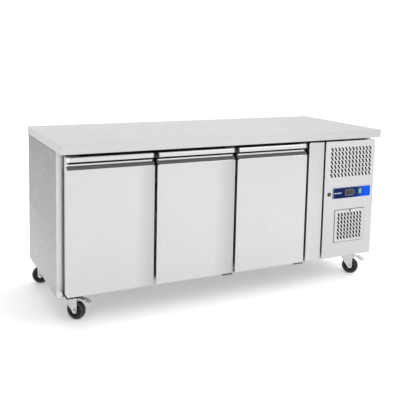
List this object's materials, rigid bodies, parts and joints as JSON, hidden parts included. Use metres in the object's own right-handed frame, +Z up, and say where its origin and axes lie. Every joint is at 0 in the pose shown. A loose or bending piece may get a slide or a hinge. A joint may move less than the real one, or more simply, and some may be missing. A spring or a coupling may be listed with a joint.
{
  "type": "reach in refrigerator",
  "caption": "Stainless undercounter refrigerator with hinged doors in a row, a worktop, a machine compartment with vents and controls at one end, and swivel castors.",
  "frame": {"origin": "on the floor under the middle of the worktop", "axes": "+Z up, +X along the counter to the right as seen from the front, +Y from front to back"},
  "size_m": [1.795, 0.7, 0.85],
  "materials": {
    "steel": "fine horizontal grain, satin",
    "galvanised": "galvanised sheet",
    "foam": "rigid polyurethane foam",
    "coated_wire": "plastic-coated wire",
    "black_steel": "black paint",
    "zinc": "bright zinc plate",
    "fins": "mill finish",
    "aluminium": "satin extrusion",
    "copper": "bare copper pipe",
    "white_plastic": "moulded",
    "black_plastic": "moulded",
    "grey_plastic": "moulded",
    "blue_plastic": "printed overlay on a moulding",
    "dark_glass": "smoked window",
    "green_switch": "lit rocker",
    "chrome": "bright",
    "rubber": "soft magnetic seal",
    "tyre": "solid rubber on a moulded hub"
  },
  "bodies": {
    "cabinet": {"worktop": "steel", "side_panel_left": "steel", "side_panel_right": "steel", "back_panel": "galvanised", "base_panel": "galvanised", "inner_liner": "steel", "cabinet_insulation": "foam", "bay_partition": "galvanised", "front_frame": "steel", "pillar_cover": "steel", "shelf_1": "coated_wire", "shelf_2": "coated_wire", "shelf_3": "coated_wire", "hinge_brackets": "black_steel", "hinge_pins": "zinc", "shelf_supports": "steel", "condenser_coil": "fins", "fan_shroud": "galvanised", "condenser_fan_motor": "black_steel", "compressor": "black_steel", "refrigerant_pipes": "copper", "evaporator_cover": "white_plastic", "evaporator_coil": "fins", "cable_gland": "black_plastic", "castor_plates": "zinc"},
    "condenser_fan": {"condenser_fan": "fins"},
    "evaporator_fan": {"evaporator_fan": "black_plastic"},
    "machine_door": {"machine_panel": "steel", "control_fascia": "blue_plastic", "display_window": "dark_glass"},
    "filter_flap": {"filter_flap": "steel"},
    "power_switch": {"power_switch": "green_switch"},
    "lock": {"lock_barrel": "chrome"},
    "key_up": {"key_up": "blue_plastic"},
    "key_down": {"key_down": "blue_plastic"},
    "door_1": {"door_1_skin": "steel", "door_1_handle": "aluminium", "door_1_end_caps": "grey_plastic", "door_1_liner": "steel", "door_1_seal": "rubber"},
    "door_2": {"door_2_skin": "steel", "door_2_handle": "aluminium", "door_2_end_caps": "grey_plastic", "door_2_liner": "steel", "door_2_seal": "rubber"},
    "door_3": {"door_3_skin": "steel", "door_3_handle": "aluminium", "door_3_end_caps": "grey_plastic", "door_3_liner": "steel", "door_3_seal": "rubber"},
    "fork_front_left": {"castor_fork_front_left": "zinc"},
    "wheel_front_left": {"castor_wheel_front_left": "tyre"},
    "pedal_front_left": {"brake_pedal_front_left": "zinc"},
    "fork_front_right": {"castor_fork_front_right": "zinc"},
    "wheel_front_right": {"castor_wheel_front_right": "tyre"},
    "pedal_front_right": {"brake_pedal_front_right": "zinc"},
    "fork_rear_left": {"castor_fork_rear_left": "zinc"},
    "wheel_rear_left": {"castor_wheel_rear_left": "tyre"},
    "fork_rear_right": {"castor_fork_rear_right": "zinc"},
    "wheel_rear_right": {"castor_wheel_rear_right": "tyre"}
  },
  "joints": [
    {"name": "door_1_hinge", "type": "hinge", "parent": "cabinet", "child": "door_1", "pos_m": [-0.853, -0.325, 0.475], "axis": [0, 0, -1], "range_deg": [0, 95]},
    {"name": "door_2_hinge", "type": "hinge", "parent": "cabinet", "child": "door_2", "pos_m": [-0.031, -0.325, 0.475], "axis": [0, 0, 1], "range_deg": [0, 95]},
    {"name": "door_3_hinge", "type": "hinge", "parent": "cabinet", "child": "door_3", "pos_m": [0.399, -0.325, 0.475], "axis": [0, 0, 1], "range_deg": [0, 95]},
    {"name": "machine_panel_hinge", "type": "hinge", "parent": "cabinet", "child": "machine_door", "pos_m": [0.865, -0.272, 0.472], "axis": [0, 0, 1], "range_deg": [0, 90]},
    {"name": "filter_flap_hinge", "type": "hinge", "parent": "machine_door", "child": "filter_flap", "pos_m": [0.7095, -0.3454, 0.24], "axis": [1, 0, 0], "range_deg": [0, 90]},
    {"name": "switch_rocker", "type": "hinge", "parent": "machine_door", "child": "power_switch", "pos_m": [0.7735, -0.341, 0.51525], "axis": [1, 0, 0], "range_deg": [0, 6]},
    {"name": "lock_turn", "type": "hinge", "parent": "machine_door", "child": "lock", "pos_m": [0.5653, -0.345, 0.51], "axis": [0, 1, 0], "range_deg": [0, 90]},
    {"name": "key_up_press", "type": "slide", "parent": "machine_door", "child": "key_up", "axis": [0, 1, 0], "range_m": [0, 0.0012], "stiffness_N_per_m": 600},
    {"name": "key_down_press", "type": "slide", "parent": "machine_door", "child": "key_down", "axis": [0, 1, 0], "range_m": [0, 0.0012], "stiffness_N_per_m": 600},
    {"name": "condenser_fan_spin", "type": "hinge", "parent": "cabinet", "child": "condenser_fan", "pos_m": [0.715, -0.151, 0.3], "axis": [0, 1, 0], "continuous": true},
    {"name": "evaporator_fan_spin", "type": "hinge", "parent": "cabinet", "child": "evaporator_fan", "pos_m": [0.443, 0.02, 0.56], "axis": [1, 0, 0], "continuous": true},
    {"name": "swivel_front_left", "type": "hinge", "parent": "cabinet", "child": "fork_front_left", "pos_m": [-0.812, -0.207, 0.1], "axis": [0, 0, 1], "continuous": true},
    {"name": "roll_front_left", "type": "hinge", "parent": "fork_front_left", "child": "wheel_front_left", "pos_m": [-0.7922, -0.2268, 0.045], "axis": [0.7071, 0.7071, 0], "continuous": true},
    {"name": "brake_front_left", "type": "hinge", "parent": "fork_front_left", "child": "pedal_front_left", "pos_m": [-0.78796, -0.23104, 0.104], "axis": [0.7071, 0.7071, 0], "range_deg": [0, 10]},
    {"name": "swivel_front_right", "type": "hinge", "parent": "cabinet", "child": "fork_front_right", "pos_m": [0.812, -0.207, 0.1], "axis": [0, 0, 1], "continuous": true},
    {"name": "roll_front_right", "type": "hinge", "parent": "fork_front_right", "child": "wheel_front_right", "pos_m": [0.8318, -0.2268, 0.045], "axis": [0.7071, 0.7071, 0], "continuous": true},
    {"name": "brake_front_right", "type": "hinge", "parent": "fork_front_right", "child": "pedal_front_right", "pos_m": [0.83604, -0.23104, 0.104], "axis": [0.7071, 0.7071, 0], "range_deg": [0, 10]},
    {"name": "swivel_rear_left", "type": "hinge", "parent": "cabinet", "child": "fork_rear_left", "pos_m": [-0.822, 0.278, 0.1], "axis": [0, 0, 1], "continuous": true},
    {"name": "roll_rear_left", "type": "hinge", "parent": "fork_rear_left", "child": "wheel_rear_left", "pos_m": [-0.84738, 0.28983, 0.045], "axis": [-0.4226, -0.9063, 0], "continuous": true},
    {"name": "swivel_rear_right", "type": "hinge", "parent": "cabinet", "child": "fork_rear_right", "pos_m": [0.822, 0.278, 0.1], "axis": [0, 0, 1], "continuous": true},
    {"name": "roll_rear_right", "type": "hinge", "parent": "fork_rear_right", "child": "wheel_rear_right", "pos_m": [0.84494, 0.29406, 0.045], "axis": [-0.5736, 0.8192, 0], "continuous": true}
  ]
}
